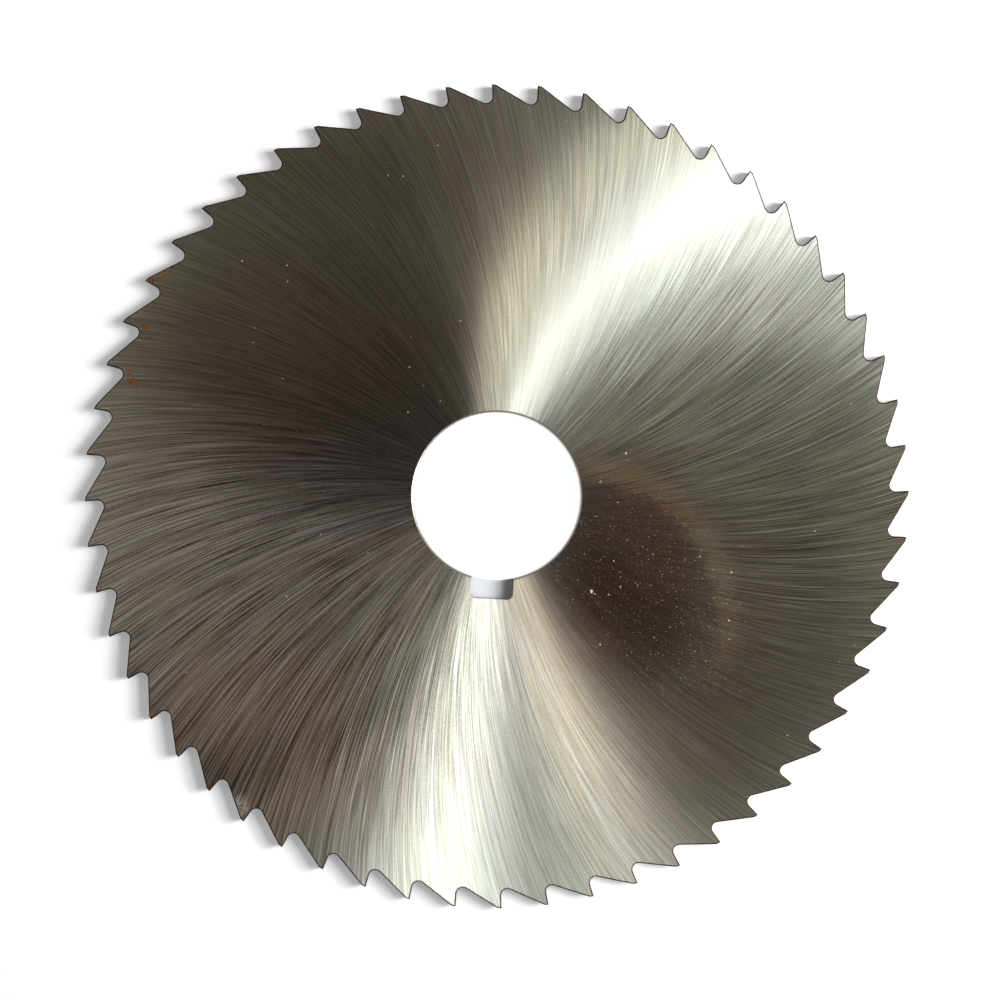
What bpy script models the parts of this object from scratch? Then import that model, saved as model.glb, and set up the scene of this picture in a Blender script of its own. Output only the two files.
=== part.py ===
"""Plain slitting saw for an arbor, 125 mm across, with a keyed bore.

The blade is one piece of high-speed steel. A turned blank with hollow-ground sides is cut to the toothed
outline, and a keyway is then slotted into the bore. It lies flat, with the bore on Z and the keyway
towards -Y. The origin is on the bore's axis, at the level of the side that the blade lies on.
"""

import math

import bmesh
import bpy
from mathutils import Vector

MM = 0.001

# Disc and bore
TIP_DIAMETER = 125.0 * MM
RIM_THICKNESS = 3.3 * MM
BORE_DIAMETER = 25.4 * MM
BORE_CHAMFER = 0.2 * MM

# Hollow-ground sides: each side is flat round the bore, where the arbor's collars clamp it, and rises in a
# shallow curve to a flat rim of the full thickness, which carries the teeth
HOLLOW_DEPTH = 0.1 * MM
CLAMP_FACE_WIDTH = 7.0 * MM
FULL_RIM_WIDTH = 4.5 * MM
HOLLOW_STEPS = 3

# Teeth: each has a rake face, a narrow land behind the cutting edge, a straight back and a round gullet
TOOTH_COUNT = 56
TOOTH_DEPTH = 2.9 * MM
RAKE_ANGLE = math.radians(3.0)
LAND_WIDTH = 0.65 * MM
LAND_RELIEF = math.radians(7.0)
GULLET_RADIUS = 0.95 * MM
GULLET_STEPS = 6
FIRST_TOOTH_ANGLE = math.radians(3.8)  # from the keyway's axis to the first cutting edge

# Keyway, from the bore's wall outwards
KEYWAY_WIDTH = 6.4 * MM
KEYWAY_DEPTH = 2.85 * MM
KEYWAY_CORNER = 0.9 * MM
CORNER_STEPS = 5
KEYWAY_ANGLE = math.radians(-90.0)

BLANK_STEPS = 2 * TOOTH_COUNT  # facets round the turned blank
TRIM_ALLOWANCE = 1.0 * MM  # by which the blank and the cutters pass the surfaces that they make
WELD_DISTANCE = 0.001 * MM  # under which points are one

STEEL_COLOUR = (0.42, 0.41, 0.38, 1.0)
STEEL_ROUGHNESS = 0.32

TIP_RADIUS = TIP_DIAMETER / 2
BORE_RADIUS = BORE_DIAMETER / 2
HALF_THICKNESS = RIM_THICKNESS / 2
CLAMP_RADIUS = BORE_RADIUS + CLAMP_FACE_WIDTH
FULL_RIM_RADIUS = TIP_RADIUS - FULL_RIM_WIDTH
TOOTH_PITCH = 2 * math.pi / TOOTH_COUNT


def polar(radius, angle):
    """Point at a radius and an angle about the bore's axis."""
    return Vector((radius * math.cos(angle), radius * math.sin(angle)))


def turned(vector, angle):
    """The vector turned anticlockwise by an angle."""
    cos, sin = math.cos(angle), math.sin(angle)
    return Vector((cos * vector.x - sin * vector.y, sin * vector.x + cos * vector.y))


def arc(centre, radius, start, end, steps):
    """Points along an arc about a centre, from one angle to another, with both its ends."""
    angles = [start + (end - start) * i / steps for i in range(steps + 1)]
    return [centre + polar(radius, angle) for angle in angles]


def tooth_points(tip_angle):
    """One pitch of the outline, anticlockwise: cutting edge, rake face, gullet and the next tooth's back."""
    tip = polar(TIP_RADIUS, tip_angle)
    inward = turned(-tip.normalized(), RAKE_ANGLE)
    ahead = turned(inward, -math.pi / 2)  # from the rake face into the gullet

    # The gullet's circle touches the rake face, and its lowest point is at the full tooth depth
    centre_radius = TIP_RADIUS - TOOTH_DEPTH + GULLET_RADIUS
    start = tip + GULLET_RADIUS * ahead
    along = start.dot(inward)
    run = -along - math.sqrt(along**2 - start.length_squared + centre_radius**2)
    gullet_centre = start + run * inward

    # The back is the line from the heel of the next tooth's land that touches the same circle
    next_tip = polar(TIP_RADIUS, tip_angle + TOOTH_PITCH)
    backward = turned(next_tip.normalized(), -math.pi / 2)
    heel = next_tip + LAND_WIDTH * turned(backward, -LAND_RELIEF)
    to_heel = heel - gullet_centre
    face_angle = math.atan2(-ahead.y, -ahead.x)
    back_angle = math.atan2(to_heel.y, to_heel.x) + math.acos(GULLET_RADIUS / to_heel.length)
    sweep = (face_angle - back_angle) % (2 * math.pi)
    return [tip, *arc(gullet_centre, GULLET_RADIUS, face_angle, face_angle - sweep, GULLET_STEPS), heel]


def rim_outline():
    """The whole toothed outline."""
    first = KEYWAY_ANGLE + FIRST_TOOTH_ANGLE
    return [point for i in range(TOOTH_COUNT) for point in tooth_points(first + i * TOOTH_PITCH)]


def keyway_outline():
    """The keyway seen along the bore, drawn towards +X: open to the bore, with round corners at its floor."""
    inner = BORE_RADIUS / 2
    floor = BORE_RADIUS + KEYWAY_DEPTH
    half = KEYWAY_WIDTH / 2
    corner = min(KEYWAY_CORNER, half)
    quarter = math.pi / 2
    low = arc(Vector((floor - corner, corner - half)), corner, -quarter, 0, CORNER_STEPS)
    high = arc(Vector((floor - corner, half - corner)), corner, 0, quarter, CORNER_STEPS)
    return [turned(p, KEYWAY_ANGLE) for p in (Vector((inner, -half)), *low, *high, Vector((inner, half)))]


def side_profile():
    """Radius and height above mid-thickness of the upper side, from the bore to just past the tips."""
    clamp_height = HALF_THICKNESS - HOLLOW_DEPTH
    chamfer = [(BORE_RADIUS, clamp_height - BORE_CHAMFER), (BORE_RADIUS + BORE_CHAMFER, clamp_height)]
    hollow = []
    for i in range(HOLLOW_STEPS + 1):
        share = i / HOLLOW_STEPS
        radius = CLAMP_RADIUS + share * (FULL_RIM_RADIUS - CLAMP_RADIUS)
        hollow.append((radius, clamp_height + share**2 * HOLLOW_DEPTH))
    return [*chamfer, *hollow, (TIP_RADIUS + TRIM_ALLOWANCE, HALF_THICKNESS)]


def steel():
    """Ground high-speed steel."""
    material = bpy.data.materials.new("ground_steel")
    material.use_nodes = True
    shader = material.node_tree.nodes["Principled BSDF"]
    shader.inputs["Base Color"].default_value = STEEL_COLOUR
    shader.inputs["Metallic"].default_value = 1.0
    shader.inputs["Roughness"].default_value = STEEL_ROUGHNESS
    return material


def collection(name):
    """A new collection in the scene."""
    made = bpy.data.collections.new(name)
    bpy.context.scene.collection.children.link(made)
    return made


def turned_blank(name, home):
    """The ring-shaped blank: its half section, closed round the section, swept about the bore's axis."""
    upper = side_profile()
    section = upper + [(radius, -height) for radius, height in reversed(upper)]
    mesh = bpy.data.meshes.new(name)
    shape = bmesh.new()
    corners = [shape.verts.new((radius, 0, HALF_THICKNESS + height)) for radius, height in section]
    for here, after in zip(corners, corners[1:] + corners[:1]):
        shape.edges.new((here, after))
    shape.to_mesh(mesh)
    shape.free()
    blank = bpy.data.objects.new(name, mesh)
    home.objects.link(blank)
    screw = blank.modifiers.new("turning", "SCREW")
    screw.axis = "Z"
    screw.angle = 2 * math.pi
    screw.steps = BLANK_STEPS
    screw.render_steps = BLANK_STEPS
    screw.use_merge_vertices = True
    screw.merge_threshold = WELD_DISTANCE
    return blank


def prism(name, outline, home):
    """A cutter of the given outline that passes both sides of the blade."""
    curve = bpy.data.curves.new(name, "CURVE")
    curve.dimensions = "2D"
    curve.fill_mode = "BOTH"
    curve.extrude = HALF_THICKNESS + TRIM_ALLOWANCE
    spline = curve.splines.new("POLY")
    spline.points.add(len(outline) - 1)
    for point, place in zip(spline.points, outline):
        point.co = (place.x, place.y, 0, 1)
    spline.use_cyclic_u = True
    drawn = bpy.data.objects.new(name + "_curve", curve)
    drawn.location.z = HALF_THICKNESS
    home.objects.link(drawn)
    bpy.context.view_layer.update()

    seen = drawn.evaluated_get(bpy.context.evaluated_depsgraph_get())
    mesh = bpy.data.meshes.new_from_object(seen)
    shape = bmesh.new()
    shape.from_mesh(mesh)
    bmesh.ops.remove_doubles(shape, verts=shape.verts, dist=WELD_DISTANCE)
    bmesh.ops.recalc_face_normals(shape, faces=shape.faces)
    shape.to_mesh(mesh)
    shape.free()
    cutter = bpy.data.objects.new(name, mesh)
    cutter.matrix_world = drawn.matrix_world
    cutter.hide_render = True
    cutter.display_type = "WIRE"
    home.objects.link(cutter)
    bpy.data.objects.remove(drawn)
    return cutter


def trim(blade, name, operation, cutter):
    """Cuts the blade with one cutter."""
    step = blade.modifiers.new(name, "BOOLEAN")
    step.operation = operation
    step.solver = "EXACT"
    step.object = cutter


def main():
    """Builds the slitting saw."""
    for old in list(bpy.data.objects):
        bpy.data.objects.remove(old)
    saw = collection("slitting_saw")
    cutters = collection("cutters")
    blade = turned_blank("saw_blade", saw)
    blade.data.materials.append(steel())
    trim(blade, "teeth", "INTERSECT", prism("rim_cutter", rim_outline(), cutters))
    trim(blade, "keyway", "DIFFERENCE", prism("keyway_cutter", keyway_outline(), cutters))


main()
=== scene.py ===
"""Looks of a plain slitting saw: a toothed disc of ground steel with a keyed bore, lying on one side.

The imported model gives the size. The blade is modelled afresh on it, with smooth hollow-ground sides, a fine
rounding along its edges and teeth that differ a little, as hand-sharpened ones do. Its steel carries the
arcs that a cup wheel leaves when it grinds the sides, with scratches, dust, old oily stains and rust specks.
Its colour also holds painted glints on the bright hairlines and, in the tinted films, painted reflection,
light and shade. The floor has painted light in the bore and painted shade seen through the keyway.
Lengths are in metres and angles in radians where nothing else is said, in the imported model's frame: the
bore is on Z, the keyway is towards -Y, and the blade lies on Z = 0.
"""

from __future__ import annotations

import logging
import math
import random
from collections.abc import Callable, Sequence
from dataclasses import dataclass, fields
from enum import Enum

import bmesh
import bpy
from mathutils import Matrix, Vector, noise

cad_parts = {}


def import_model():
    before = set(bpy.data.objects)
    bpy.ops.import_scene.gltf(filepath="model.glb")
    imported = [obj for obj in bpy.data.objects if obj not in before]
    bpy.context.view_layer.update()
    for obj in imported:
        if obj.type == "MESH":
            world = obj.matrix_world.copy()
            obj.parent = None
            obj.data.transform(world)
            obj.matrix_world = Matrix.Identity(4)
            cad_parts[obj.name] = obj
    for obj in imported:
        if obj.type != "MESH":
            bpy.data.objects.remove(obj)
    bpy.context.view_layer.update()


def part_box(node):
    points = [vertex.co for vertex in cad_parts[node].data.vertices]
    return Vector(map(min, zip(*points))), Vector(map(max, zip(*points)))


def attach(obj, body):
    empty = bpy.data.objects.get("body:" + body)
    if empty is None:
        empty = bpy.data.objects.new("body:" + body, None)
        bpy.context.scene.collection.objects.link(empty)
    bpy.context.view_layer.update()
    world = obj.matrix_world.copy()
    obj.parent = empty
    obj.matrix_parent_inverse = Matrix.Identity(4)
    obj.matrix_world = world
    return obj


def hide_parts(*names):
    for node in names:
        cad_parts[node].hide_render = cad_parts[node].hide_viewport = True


log = logging.getLogger("slitting_saw")

MM = 0.001
QUARTER = math.pi / 2
TURN = 2 * math.pi
Colour = tuple[float, float, float]
Node = bpy.types.Node
Socket = bpy.types.NodeSocket
Sockets = bpy.types.bpy_prop_collection


def polar(radius: float, angle: float) -> Vector:
    """Point in the plane of the blade, at a radius and an angle about the bore's axis."""
    return Vector((radius * math.cos(angle), radius * math.sin(angle), 0.0))


def turned(vector: Vector, angle: float) -> Vector:
    """The vector turned anticlockwise about Z, seen from above."""
    return Matrix.Rotation(angle, 3, "Z") @ vector


def smooth_step(share: float) -> float:
    """Eased share, from 0 to 1."""
    share = min(1.0, max(0.0, share))
    return share * share * (3 - 2 * share)


class Part(Enum):
    """What is selected of a mesh."""

    EDGES = "EDGE"
    FACES = "FACE"


class Bench:
    """Editing by hand: one object is on the bench at a time, and the operators act on it."""

    @staticmethod
    def clear() -> None:
        """Deselects every object."""
        if bpy.context.mode != "OBJECT":
            bpy.ops.object.mode_set(mode="OBJECT")
        bpy.ops.object.select_all(action="DESELECT")

    @classmethod
    def take(cls, thing: bpy.types.Object) -> None:
        """Puts an object on the bench, alone and active.

        Args:
            thing: The object.
        """
        cls.clear()
        thing.select_set(True)
        bpy.context.view_layer.objects.active = thing

    @classmethod
    def edit(cls, thing: bpy.types.Object) -> None:
        """Opens an object's mesh with nothing in it selected.

        Args:
            thing: The object.
        """
        cls.take(thing)
        bpy.ops.object.mode_set(mode="EDIT")
        bpy.ops.mesh.select_all(action="DESELECT")

    @staticmethod
    def close() -> None:
        """Leaves edit mode."""
        bpy.ops.object.mode_set(mode="OBJECT")

    @staticmethod
    def select(part: Part, wanted: Callable[[bmesh.types.BMEdge | bmesh.types.BMFace], bool]) -> None:
        """Selects edges or faces of the open mesh.

        Args:
            part: Which of the two.
            wanted: Says of one of them whether it is selected.
        """
        bpy.ops.mesh.select_mode(type=part.value)
        mesh = bpy.context.edit_object.data
        shape = bmesh.from_edit_mesh(mesh)
        for element in shape.edges if part is Part.EDGES else shape.faces:
            element.select_set(wanted(element))
        bmesh.update_edit_mesh(mesh)

    @classmethod
    def weld(cls, thing: bpy.types.Object, distance: float) -> None:
        """Merges points that are closer than a distance and turns every face outwards.

        Args:
            thing: The object.
            distance: The distance.
        """
        cls.edit(thing)
        bpy.ops.mesh.select_all(action="SELECT")
        bpy.ops.mesh.remove_doubles(threshold=distance)
        bpy.ops.mesh.normals_make_consistent(inside=False)
        cls.close()

    @classmethod
    def apply(cls, thing: bpy.types.Object, name: str) -> None:
        """Applies one modifier of an object."""
        cls.take(thing)
        bpy.ops.object.modifier_apply(modifier=name)


@dataclass(frozen=True)
class ToothForm:
    """One saw tooth and its gullet, in the plane of the blade.

    Attributes:
        tip_radius: Radius of the circle through the cutting edges.
        count: Number of teeth round the rim.
        depth: Height from the gullet's floor to the cutting edge.
        rake: Angle by which the rake face is undercut.
        land: Width of the narrow land behind the cutting edge.
        relief: Angle of that land to the tip circle.
        gullet_radius: Radius of the round gullet.
        step: Longest distance between two points along a straight stretch.
        arc_steps: Steps round a whole gullet.
        whole_arc: Sweep of a whole gullet.
    """

    tip_radius: float
    count: int = 56
    depth: float = 2.9 * MM
    rake: float = math.radians(3.0)
    land: float = 0.65 * MM
    relief: float = math.radians(7.0)
    gullet_radius: float = 0.95 * MM
    step: float = 0.33 * MM
    arc_steps: int = 10
    whole_arc: float = math.radians(125)

    @property
    def pitch(self) -> float:
        """Angle from one tooth to the next."""
        return TURN / self.count

    @property
    def root_radius(self) -> float:
        """Radius of the circle through the gullets' floors."""
        return self.tip_radius - self.depth

    def gullet_centre(self, tip_angle: float) -> Vector:
        """Centre of the gullet in front of a tooth.

        Args:
            tip_angle: Angle of the tooth's cutting edge.

        Returns:
            The centre of the circle that touches the rake face and reaches the full depth.
        """
        tip = polar(self.tip_radius, tip_angle)
        inward = turned(-tip.normalized(), self.rake)
        start = tip + self.gullet_radius * turned(inward, -QUARTER)
        along = start.dot(inward)
        reach = self.root_radius + self.gullet_radius
        run = -along - math.sqrt(along**2 - start.length_squared + reach**2)
        return start + run * inward

    def outline(self, tip_angle: float) -> list[Vector]:
        """Points from the floor of the gullet behind a tooth, over the tooth, to the floor of the next one.

        Args:
            tip_angle: Angle of the tooth's cutting edge.

        Returns:
            The points, anticlockwise round the blade.
        """
        behind = self.gullet_centre(tip_angle - self.pitch)
        ahead = self.gullet_centre(tip_angle)
        tip = polar(self.tip_radius, tip_angle)
        heel = tip + self.land * turned(tip.normalized(), -QUARTER - self.relief)

        to_heel = heel - behind
        back = math.atan2(to_heel.y, to_heel.x) + math.acos(self.gullet_radius / to_heel.length)
        inward = turned(-tip.normalized(), self.rake)
        face = math.atan2(inward.x, -inward.y)
        rise = self.arc(behind, math.atan2(-behind.y, -behind.x), back)
        fall = self.arc(ahead, face, math.atan2(-ahead.y, -ahead.x))
        return [
            *rise,
            *self.between(rise[-1], heel),
            heel,
            *self.between(heel, tip),
            tip,
            *self.between(tip, fall[0]),
            *fall,
        ]

    def arc(self, centre: Vector, start: float, end: float) -> list[Vector]:
        """Points clockwise round a gullet, with both ends.

        Args:
            centre: The gullet's centre.
            start: Angle of the first point about it.
            end: Angle of the last point.

        Returns:
            The points.
        """
        sweep = (start - end) % TURN
        steps = max(2, round(self.arc_steps * sweep / self.whole_arc))
        return [centre + polar(self.gullet_radius, start - sweep * i / steps) for i in range(steps + 1)]

    def between(self, start: Vector, end: Vector) -> list[Vector]:
        """Points along a straight stretch, without its ends."""
        parts = max(1, math.ceil((end - start).length / self.step))
        return [start.lerp(end, i / parts) for i in range(1, parts)]


@dataclass(frozen=True)
class ToothWear:
    """How far a tooth strays from the true form, as hand sharpening and use leave it.

    Attributes:
        reach: Largest shift of a cutting edge, in and out.
        lean: Largest shift of a cutting edge along the rim.
        ragged: Shift of a single point of the outline.
        notches: Coarse and fine notches of the outline, each a number to the metre.
        fine_share: Depth of the fine notches against the coarse ones.
        seed: Start of the random draws.
    """

    reach: float = 0.06 * MM
    lean: float = 0.07 * MM
    ragged: float = 0.016 * MM
    notches: tuple[float, float] = (2600, 7300)
    fine_share: float = 0.6
    seed: int = 8


@dataclass
class Blade:
    """The saw's one piece: a hollow-ground disc with teeth on its rim and a keyway in its bore.

    Attributes:
        thickness: Width of the blade at the rim.
        tooth: Form of the teeth.
        wear: How far the teeth stray from it.
        bore_radius: Radius of the bore.
        bore_chamfer: Width of the chamfer at each end of the bore.
        hollow_depth: How far each side is ground in, at the bore.
        clamp_face_width: Width of the flat face round the bore.
        full_rim_width: Width of the rim that isn't ground in.
        root_margin: Width of the rim that the teeth's pieces have below their gullets.
        hollow_rings: Steps of the ground side from the clamp face to the rim.
        segments_per_tooth: Steps round the web for each tooth.
        first_tooth: Angle from the keyway to the first cutting edge.
        keyway_angle: Direction of the keyway.
        keyway_width: Width of the keyway.
        keyway_depth: Depth of the keyway, from the bore's circle.
        keyway_corner: Radius of the keyway's corners.
        corner_steps: Steps round such a corner.
        tooth_edge: Width of the rounding along the teeth.
        bore_edge: The same at the bore and in the keyway.
        edge_steps: Steps across a rounding.
        sharp_angle: Least angle between two faces whose edge is rounded.
        smooth_angle: Largest angle between two faces that are shaded as one.
        seam_weld: Distance within which the points of two pieces are merged.
        edge_weld: The same of points that the rounding brings together.
        level: Least upward part of the normal of a ground side.
        upright: Largest upward part of the normal of a cut wall.
        piece: The finished blade.
    """

    thickness: float
    tooth: ToothForm
    wear: ToothWear = ToothWear()
    bore_radius: float = 12.7 * MM
    bore_chamfer: float = 0.2 * MM
    hollow_depth: float = 0.1 * MM
    clamp_face_width: float = 7.0 * MM
    full_rim_width: float = 4.5 * MM
    root_margin: float = 0.6 * MM
    hollow_rings: int = 9
    segments_per_tooth: int = 6
    first_tooth: float = math.radians(3.8)
    keyway_angle: float = -QUARTER
    keyway_width: float = 6.4 * MM
    keyway_depth: float = 2.85 * MM
    keyway_corner: float = 0.9 * MM
    corner_steps: int = 8
    tooth_edge: float = 0.20 * MM
    bore_edge: float = 0.07 * MM
    edge_steps: int = 2
    sharp_angle: float = math.radians(38)
    smooth_angle: float = math.radians(18)
    seam_weld: float = 0.002 * MM
    edge_weld: float = 0.001 * MM
    level: float = 0.999
    upright: float = 0.1
    piece: bpy.types.Object | None = None

    @property
    def web_radius(self) -> float:
        """Radius at which the teeth's own pieces meet the web."""
        return self.tooth.root_radius - self.root_margin

    @property
    def seam_angle(self) -> float:
        """Angle of the first gullet's floor, where one tooth's piece meets the next."""
        centre = self.tooth.gullet_centre(self.keyway_angle + self.first_tooth)
        return math.atan2(centre.y, centre.x)

    def side_stations(self) -> list[tuple[float, float]]:
        """Radius and height of the upper side, from the teeth inwards to the bore's wall.

        Returns:
            A pair for each step of the side.
        """
        clamp_radius = self.bore_radius + self.clamp_face_width
        rim_radius = self.tooth.tip_radius - self.full_rim_width
        low = self.thickness - self.hollow_depth
        stations = [(self.web_radius, self.thickness)]
        for ring in range(self.hollow_rings, -1, -1):
            share = ring / self.hollow_rings
            radius = clamp_radius + share * (rim_radius - clamp_radius)
            stations.append((radius, low + share**2 * self.hollow_depth))
        stations.append(((clamp_radius + self.bore_radius) / 2, low))
        stations.append((self.bore_radius + self.bore_chamfer, low))
        stations.append((self.bore_radius, low - self.bore_chamfer))
        return stations

    def make_web(self) -> bpy.types.Object:
        """Turns the web: a ring that is extruded inwards over one side, through the bore and out again.

        Returns:
            The open web, which the teeth's pieces close.
        """
        upper = self.side_stations()
        lower = [(radius, self.thickness - height) for radius, height in reversed(upper)]
        stations = upper + lower
        radius, height = stations[0]
        bpy.ops.mesh.primitive_circle_add(
            vertices=self.tooth.count * self.segments_per_tooth,
            radius=radius,
            fill_type="NOTHING",
            location=(0, 0, height),
        )
        web = bpy.context.active_object
        web.name = "saw_blade_ground"
        bpy.ops.object.transform_apply(location=True, rotation=True, scale=True)
        bpy.ops.object.mode_set(mode="EDIT")
        bpy.ops.mesh.select_all(action="SELECT")
        for new_radius, new_height in stations[1:]:
            bpy.ops.mesh.extrude_edges_move(TRANSFORM_OT_translate={"value": (0, 0, new_height - height)})
            scale = new_radius / radius
            bpy.ops.transform.resize(value=(scale, scale, 1), center_override=(0, 0, new_height))
            radius, height = new_radius, new_height
        Bench.close()
        start = Vector(web.data.vertices[0].co)
        web.data.transform(Matrix.Rotation(self.seam_angle - math.atan2(start.y, start.x), 4, "Z"))
        return web

    def make_tooth(self) -> bpy.types.Object:
        """Draws one tooth with the rim under it as an outline, fills it and extrudes it through the blade.

        Returns:
            The tooth's piece, open where it meets the web and its neighbours.
        """
        tip_angle = self.keyway_angle + self.first_tooth + self.tooth.pitch
        end = self.seam_angle + self.tooth.pitch
        steps = self.segments_per_tooth
        root = [polar(self.web_radius, end - self.tooth.pitch * i / steps) for i in range(steps + 1)]
        points = [point + Vector((0, 0, self.thickness)) for point in self.tooth.outline(tip_angle) + root]

        bpy.ops.mesh.primitive_circle_add(vertices=3, radius=self.tooth.depth, fill_type="NOTHING")
        tooth = bpy.context.active_object
        tooth.name = "tooth"
        Bench.edit(tooth)
        shape = bmesh.from_edit_mesh(tooth.data)
        shape.verts.ensure_lookup_table()
        for vertex in shape.verts[1:]:
            vertex.select_set(True)
        bpy.ops.mesh.delete(type="VERT")
        bpy.ops.mesh.select_all(action="SELECT")
        shape = bmesh.from_edit_mesh(tooth.data)
        shape.verts.ensure_lookup_table()
        place = shape.verts[0].co.copy()
        bpy.ops.transform.translate(value=points[0] - place)
        for here, after in zip(points, points[1:]):
            bpy.ops.mesh.extrude_vertices_move(TRANSFORM_OT_translate={"value": after - here})
        bpy.ops.mesh.select_all(action="SELECT")
        bpy.ops.mesh.edge_face_add()
        bpy.ops.mesh.extrude_region_move(TRANSFORM_OT_translate={"value": (0, 0, -self.thickness)})

        margin = 0.01 * MM
        Bench.select(Part.FACES, lambda face: self.is_seam(face, margin))
        bpy.ops.mesh.delete(type="ONLY_FACE")
        bpy.ops.mesh.select_all(action="SELECT")
        bpy.ops.mesh.normals_make_consistent(inside=False)
        Bench.close()
        return tooth

    def is_seam(self, face: bmesh.types.BMFace, margin: float) -> bool:
        """Whether a wall of a tooth's piece is only where it meets the web or its neighbours.

        Args:
            face: A face of the piece.
            margin: How far off the wall may lie.

        Returns:
            Whether the face is such a wall.
        """
        if abs(face.normal.z) > self.upright:
            return False
        radii = [vertex.co.xy.length for vertex in face.verts]
        return max(radii) < self.tooth.root_radius + margin and min(radii) < self.web_radius + margin

    def wear_tooth(self, tooth: bpy.types.Object, draws: random.Random) -> None:
        """Shifts one tooth's edge by a little and roughens its outline.

        Args:
            tooth: The tooth's own copy, in its place on the rim.
            draws: The random draws of the whole rim.
        """
        outward = Vector((draws.uniform(-1, 1) * self.wear.reach, draws.uniform(-1, 1) * self.wear.lean))
        for vertex in tooth.data.vertices:
            radius = vertex.co.xy.length
            share = smooth_step((radius - self.tooth.root_radius) / self.tooth.depth)
            if share <= 0:
                continue
            away = vertex.co.xy.normalized()
            along = Vector((-away.y, away.x))
            coarse, fine = (noise.noise(vertex.co.xy.to_3d() * scale) for scale in self.wear.notches)
            rough = coarse + self.wear.fine_share * fine
            shift = share * (outward.x * away + outward.y * along) + self.wear.ragged * rough * away
            vertex.co.x += shift.x
            vertex.co.y += shift.y

    def make_rim(self) -> list[bpy.types.Object]:
        """Copies the tooth round the rim.

        Returns:
            One object for each tooth, each with a mesh of its own.
        """
        model = self.make_tooth()
        draws = random.Random(self.wear.seed)
        rim = [model]
        for index in range(1, self.tooth.count):
            Bench.take(model)
            bpy.ops.object.duplicate(linked=False)
            tooth = bpy.context.active_object
            tooth.name = f"tooth_{index:02d}"
            tooth.data.transform(Matrix.Rotation(index * self.tooth.pitch, 4, "Z"))
            rim.append(tooth)
        for tooth in rim:
            self.wear_tooth(tooth, draws)
        return rim

    def cut_keyway(self, blade: bpy.types.Object) -> None:
        """Slots the keyway into the bore with a block whose outer corners are round.

        Args:
            blade: The joined blade.
        """
        inner = self.bore_radius / 2
        floor = self.bore_radius + self.keyway_depth
        bpy.ops.mesh.primitive_cube_add(size=1, location=((inner + floor) / 2, 0, self.thickness / 2))
        cutter = bpy.context.active_object
        cutter.name = "keyway_cutter"
        cutter.scale = (floor - inner, self.keyway_width, 3 * self.thickness)
        bpy.ops.object.transform_apply(location=True, rotation=True, scale=True)
        Bench.edit(cutter)
        middle = (inner + floor) / 2
        Bench.select(Part.EDGES, lambda edge: self.is_upright(edge) and edge.verts[0].co.x > middle)
        bpy.ops.mesh.bevel(
            offset=self.keyway_corner, offset_type="OFFSET", segments=self.corner_steps, affect="EDGES"
        )
        Bench.close()
        cutter.data.transform(Matrix.Rotation(self.keyway_angle, 4, "Z"))
        cut = blade.modifiers.new("keyway", "BOOLEAN")
        cut.operation = "DIFFERENCE"
        cut.solver = "EXACT"
        cut.object = cutter
        Bench.apply(blade, cut.name)
        bpy.data.objects.remove(cutter)

    @staticmethod
    def is_upright(edge: bmesh.types.BMEdge) -> bool:
        """Whether an edge runs along Z."""
        one, other = edge.verts
        return (one.co - other.co).xy.length < 0.001 * MM

    def is_sharp(self, edge: bmesh.types.BMEdge) -> bool:
        """Whether an edge is worn round. The cutting edges and the teeth's other upright ones stay sharp.

        Args:
            edge: An edge of the blade.

        Returns:
            Whether it is rounded.
        """
        if len(edge.link_faces) != 2 or edge.calc_face_angle() < self.sharp_angle:
            return False
        return not (self.is_upright(edge) and self.is_on_rim(edge))

    def is_on_rim(self, edge: bmesh.types.BMEdge) -> bool:
        """Whether an edge is part of the teeth."""
        return edge.verts[0].co.xy.length > self.web_radius

    def soften_edges(self, blade: bpy.types.Object) -> None:
        """Rounds the edges by a little, less at the bore, and smooths the shading between them.

        Args:
            blade: The blade with its keyway.
        """
        Bench.edit(blade)
        Bench.select(Part.EDGES, lambda edge: self.is_sharp(edge) and self.is_on_rim(edge))
        bpy.ops.transform.edge_bevelweight(value=1.0)
        Bench.select(Part.EDGES, lambda edge: self.is_sharp(edge) and not self.is_on_rim(edge))
        bpy.ops.transform.edge_bevelweight(value=self.bore_edge / self.tooth_edge)
        Bench.close()
        bevel = blade.modifiers.new("edges", "BEVEL")
        bevel.width = self.tooth_edge
        bevel.segments = self.edge_steps
        bevel.limit_method = "WEIGHT"
        bevel.use_clamp_overlap = False
        Bench.apply(blade, bevel.name)
        Bench.weld(blade, self.edge_weld)
        bpy.ops.object.shade_smooth_by_angle(angle=self.smooth_angle)
        Bench.edit(blade)
        Bench.select(Part.EDGES, self.bounds_side)
        bpy.ops.mesh.mark_sharp()
        Bench.close()

    def bounds_side(self, edge: bmesh.types.BMEdge) -> bool:
        """Whether an edge lies between a ground side and some other face."""
        return len({self.is_side(face.normal) for face in edge.link_faces}) > 1

    def is_side(self, normal: Vector) -> bool:
        """Whether a face with this normal is part of one of the two ground sides."""
        return abs(normal.z) > self.level

    def build(self) -> bpy.types.Object:
        """Makes the whole blade.

        Returns:
            The finished piece, at the origin, without materials.
        """
        Bench.clear()
        web = self.make_web()
        rim = self.make_rim()
        Bench.take(web)
        for tooth in rim:
            tooth.select_set(True)
        bpy.ops.object.join()
        blade = bpy.context.active_object
        Bench.weld(blade, self.seam_weld)
        self.cut_keyway(blade)
        self.soften_edges(blade)
        self.piece = blade
        return blade

    def is_tooth_edge(self, face: bpy.types.MeshPolygon) -> bool:
        """Whether a face is part of the fine rounding of the teeth."""
        return self.upright < abs(face.normal.z) < self.level and face.center.xy.length > self.web_radius

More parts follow.
